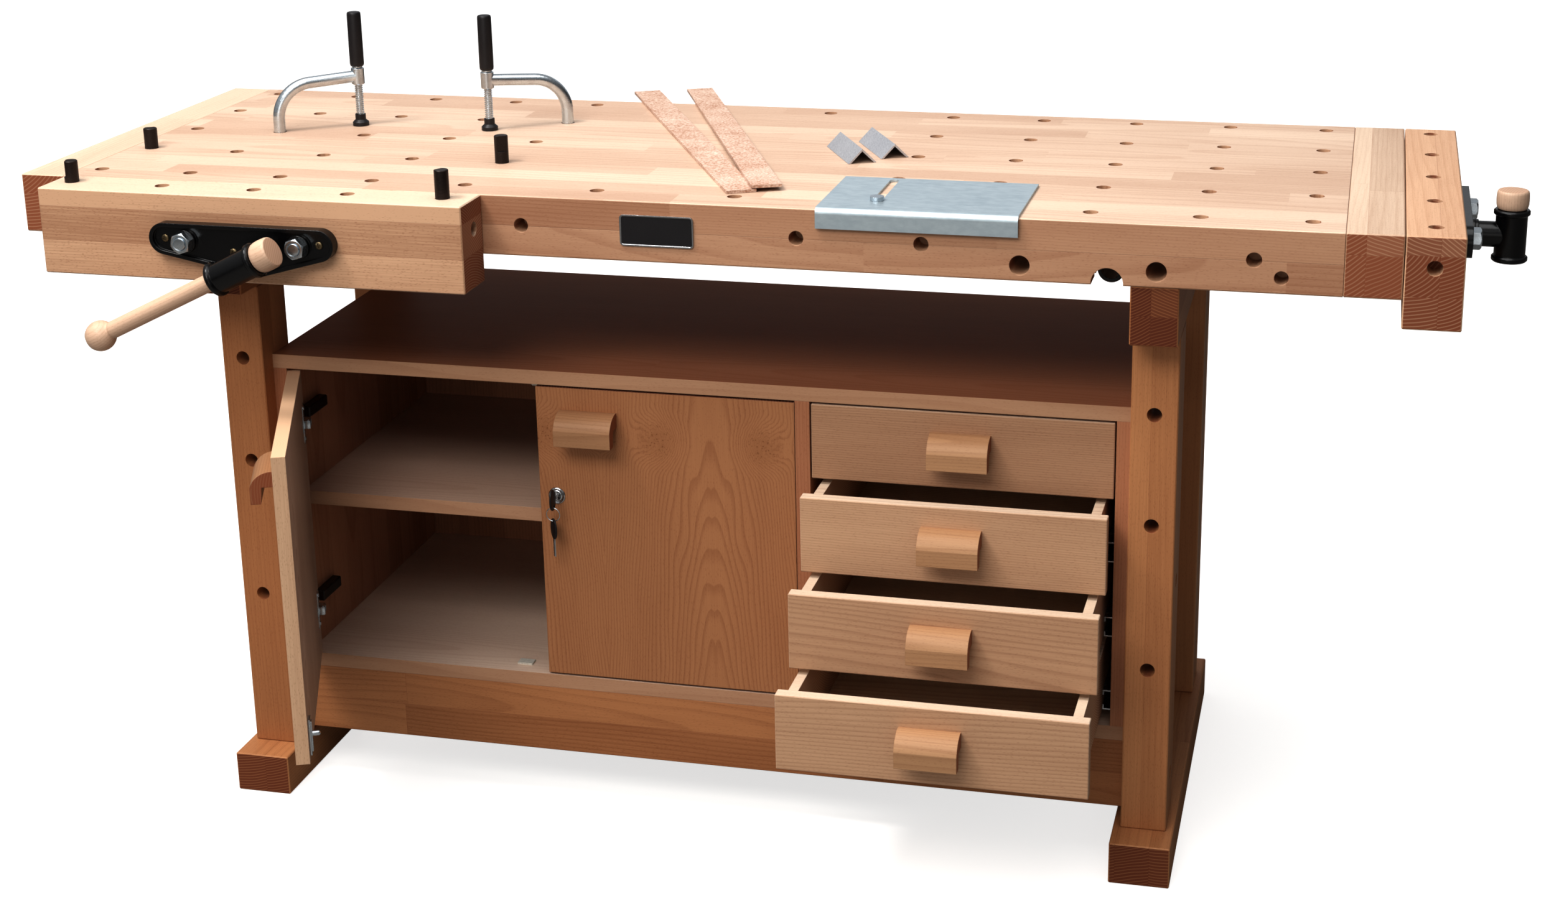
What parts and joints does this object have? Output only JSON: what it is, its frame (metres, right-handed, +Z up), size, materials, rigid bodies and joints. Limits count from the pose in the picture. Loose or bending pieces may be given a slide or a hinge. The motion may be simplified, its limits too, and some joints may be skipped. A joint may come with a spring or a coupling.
{
  "type": "cabinet workbench",
  "caption": "Joiner's workbench in beech with a front vise and an end vise, dog holes, round dogs and hold-downs, over a cupboard with doors and drawers.",
  "frame": {"origin": "centre of the left foot's underside, on the floor", "axes": "+X along the bench from the front vise to the end vise, +Y from the front to the back, +Z up"},
  "size_m": [1.9873, 0.9878, 1.0685],
  "materials": {
    "beech": "satin oiled beech",
    "beech_end_grain": "satin oiled beech, end grain on its ends",
    "steamed_beech": "satin oiled steamed beech",
    "beech_veneer": "satin beech veneer",
    "light_beech": "satin light beech",
    "black_cast_iron": "black satin paint on cast iron",
    "zinc_steel": "zinc-plated steel",
    "dark_steel": "browned steel",
    "aluminium": "mill-finish aluminium",
    "cork": "cork and rubber liner",
    "nickel_hinge": "nickel-plated steel",
    "chrome": "polished chrome",
    "black_plastic": "black plastic",
    "badge_black": "black anodised aluminium with a bright rim"
  },
  "bodies": {
    "bench": {"worktop": "beech", "front_apron": "beech", "rear_apron": "beech", "end_caps": "beech_end_grain", "nameplate": "badge_black", "feet": "steamed_beech", "posts": "steamed_beech", "bearers": "steamed_beech", "stretchers": "steamed_beech", "bench_bolts": "zinc_steel", "cabinet_top": "beech_veneer", "cabinet_bottom": "beech_veneer", "cabinet_uprights": "beech_veneer", "cabinet_back": "beech_veneer", "cabinet_shelf": "beech_veneer", "drawer_runners": "zinc_steel", "hinge_arms": "nickel_hinge", "door_catches": "nickel_hinge", "vise_mounts": "black_cast_iron"},
    "front_vise": {"front_jaw": "beech", "front_vise_plate": "black_cast_iron", "front_vise_guides": "zinc_steel"},
    "front_vise_screw": {"front_vise_screw": "black_cast_iron"},
    "front_vise_bar": {"front_vise_bar": "light_beech"},
    "end_vise": {"end_jaw": "beech_end_grain", "end_vise_plate": "black_cast_iron", "end_vise_guides": "zinc_steel"},
    "end_vise_screw": {"end_vise_screw": "black_cast_iron"},
    "end_vise_bar": {"end_vise_bar": "light_beech"},
    "left_door": {"left_door": "beech_veneer", "left_door_handle": "light_beech", "left_door_fittings": "nickel_hinge"},
    "right_door": {"right_door": "beech_veneer", "right_door_handle": "light_beech", "right_door_fittings": "chrome"},
    "lock_key": {"lock_key": "black_plastic"},
    "spare_key": {"spare_key": "black_plastic"},
    "front_left_dog": {"front_left_dog": "dark_steel"},
    "front_right_dog": {"front_right_dog": "dark_steel"},
    "back_left_dog": {"back_left_dog": "dark_steel"},
    "back_right_dog": {"back_right_dog": "dark_steel"},
    "stop_plate": {"stop_plate": "zinc_steel"},
    "left_angle": {"left_angle": "aluminium"},
    "right_angle": {"right_angle": "aluminium"},
    "left_cork_strip": {"left_cork_strip": "cork"},
    "right_cork_strip": {"right_cork_strip": "cork"},
    "drawer_1": {"drawer_1": "beech_veneer", "drawer_1_handle": "light_beech"},
    "drawer_2": {"drawer_2": "beech_veneer", "drawer_2_handle": "light_beech"},
    "drawer_3": {"drawer_3": "beech_veneer", "drawer_3_handle": "light_beech"},
    "drawer_4": {"drawer_4": "beech_veneer", "drawer_4_handle": "light_beech"},
    "left_holddown_arm": {"left_holddown_arm": "zinc_steel"},
    "left_holddown_pad": {"left_holddown_pad": "dark_steel"},
    "left_holddown_screw": {"left_holddown_screw": "black_plastic"},
    "right_holddown_arm": {"right_holddown_arm": "zinc_steel"},
    "right_holddown_pad": {"right_holddown_pad": "dark_steel"},
    "right_holddown_screw": {"right_holddown_screw": "black_plastic"}
  },
  "joints": [
    {"name": "front_vise_slide", "type": "slide", "parent": "bench", "child": "front_vise", "axis": [0, -1, 0], "range_m": [0, 0.16]},
    {"name": "front_vise_turn", "type": "hinge", "parent": "front_vise", "child": "front_vise_screw", "pos_m": [0.101, -0.388, 0.822], "axis": [0, -1, 0], "range_deg": [0, 11520]},
    {"name": "front_vise_bar_slide", "type": "slide", "parent": "front_vise_screw", "child": "front_vise_bar", "axis": [0.8957, 0, 0.4446], "range_m": [0, 0.17]},
    {"name": "end_vise_slide", "type": "slide", "parent": "bench", "child": "end_vise", "axis": [1, 0, 0], "range_m": [0, 0.16]},
    {"name": "end_vise_turn", "type": "hinge", "parent": "end_vise", "child": "end_vise_screw", "pos_m": [1.631, 0.034, 0.822], "axis": [1, 0, 0], "range_deg": [0, 11520]},
    {"name": "end_vise_bar_slide", "type": "slide", "parent": "end_vise_screw", "child": "end_vise_bar", "axis": [0, 0, 1], "range_m": [0, 0.05]},
    {"name": "left_door_hinge", "type": "hinge", "parent": "bench", "child": "left_door", "pos_m": [0.0509, -0.226, 0.405], "axis": [0, 0, 1], "range_deg": [-27.6, 67.4]},
    {"name": "right_door_hinge", "type": "hinge", "parent": "bench", "child": "right_door", "pos_m": [0.7761, -0.226, 0.405], "axis": [0, 0, 1], "range_deg": [0, 85]},
    {"name": "lock_key_turn", "type": "hinge", "parent": "right_door", "child": "lock_key", "pos_m": [0.439, -0.226, 0.46], "axis": [0, 1, 0], "range_deg": [0, 90]},
    {"name": "spare_key_swing", "type": "hinge", "parent": "lock_key", "child": "spare_key", "pos_m": [0.439, -0.2445, 0.4487], "axis": [1, 0, 0], "range_deg": [-60, 6]},
    {"name": "drawer_1_slide", "type": "slide", "parent": "bench", "child": "drawer_1", "axis": [0, -1, 0], "range_m": [0, 0.33]},
    {"name": "drawer_2_slide", "type": "slide", "parent": "bench", "child": "drawer_2", "axis": [0, -1, 0], "range_m": [-0.068, 0.262]},
    {"name": "drawer_3_slide", "type": "slide", "parent": "bench", "child": "drawer_3", "axis": [0, -1, 0], "range_m": [-0.139, 0.191]},
    {"name": "drawer_4_slide", "type": "slide", "parent": "bench", "child": "drawer_4", "axis": [0, -1, 0], "range_m": [-0.215, 0.115]},
    {"name": "front_left_dog_slide", "type": "slide", "parent": "front_vise", "child": "front_left_dog", "axis": [0, 0, 1], "range_m": [-0.03, 0.035]},
    {"name": "front_right_dog_slide", "type": "slide", "parent": "front_vise", "child": "front_right_dog", "axis": [0, 0, 1], "range_m": [-0.03, 0.035]},
    {"name": "back_left_dog_slide", "type": "slide", "parent": "bench", "child": "back_left_dog", "axis": [0, 0, 1], "range_m": [-0.03, 0.035]},
    {"name": "back_right_dog_slide", "type": "slide", "parent": "bench", "child": "back_right_dog", "axis": [0, 0, 1], "range_m": [-0.03, 0.035]},
    {"name": "left_holddown_swivel", "type": "hinge", "parent": "bench", "child": "left_holddown_arm", "pos_m": [-0.0535, 0.015, 0.9], "axis": [0, 0, 1], "continuous": true},
    {"name": "left_holddown_lift", "type": "slide", "parent": "left_holddown_arm", "child": "left_holddown_pad", "axis": [0, 0, 1], "range_m": [0, 0.038]},
    {"name": "left_holddown_turn", "type": "hinge", "parent": "left_holddown_pad", "child": "left_holddown_screw", "pos_m": [0.04478, 0.0803, 0.95], "axis": [0, 0, 1], "range_deg": [0, 4560]},
    {"name": "right_holddown_swivel", "type": "hinge", "parent": "bench", "child": "right_holddown_arm", "pos_m": [0.3425, 0.15, 0.9], "axis": [0, 0, 1], "continuous": true},
    {"name": "right_holddown_lift", "type": "slide", "parent": "right_holddown_arm", "child": "right_holddown_pad", "axis": [0, 0, 1], "range_m": [0, 0.038]},
    {"name": "right_holddown_turn", "type": "hinge", "parent": "right_holddown_pad", "child": "right_holddown_screw", "pos_m": [0.24679, 0.08098, 0.95], "axis": [0, 0, 1], "range_deg": [0, 4560]},
    {"name": "stop_plate_slide", "type": "slide", "parent": "bench", "child": "stop_plate", "axis": [0, -1, 0], "range_m": [0, 0.105]},
    {"name": "left_angle_lift", "type": "slide", "parent": "bench", "child": "left_angle", "axis": [0, 0, 1], "range_m": [0, 0.15]},
    {"name": "right_angle_lift", "type": "slide", "parent": "bench", "child": "right_angle", "axis": [0, 0, 1], "range_m": [0, 0.15]},
    {"name": "left_cork_strip_slide", "type": "slide", "parent": "bench", "child": "left_cork_strip", "axis": [-0.4617, 0.887, 0], "range_m": [-0.1, 0.1]},
    {"name": "right_cork_strip_lift", "type": "slide", "parent": "bench", "child": "right_cork_strip", "axis": [0, 0, 1], "range_m": [0, 0.1]}
  ],
  "couplings": [
    {"joint": "front_vise_turn", "follows": "front_vise_slide", "rad_per_m": 1256.6},
    {"joint": "end_vise_turn", "follows": "end_vise_slide", "rad_per_m": 1256.6},
    {"joint": "left_holddown_turn", "follows": "left_holddown_lift", "rad_per_m": 2094.4},
    {"joint": "right_holddown_turn", "follows": "right_holddown_lift", "rad_per_m": 2094.4}
  ]
}
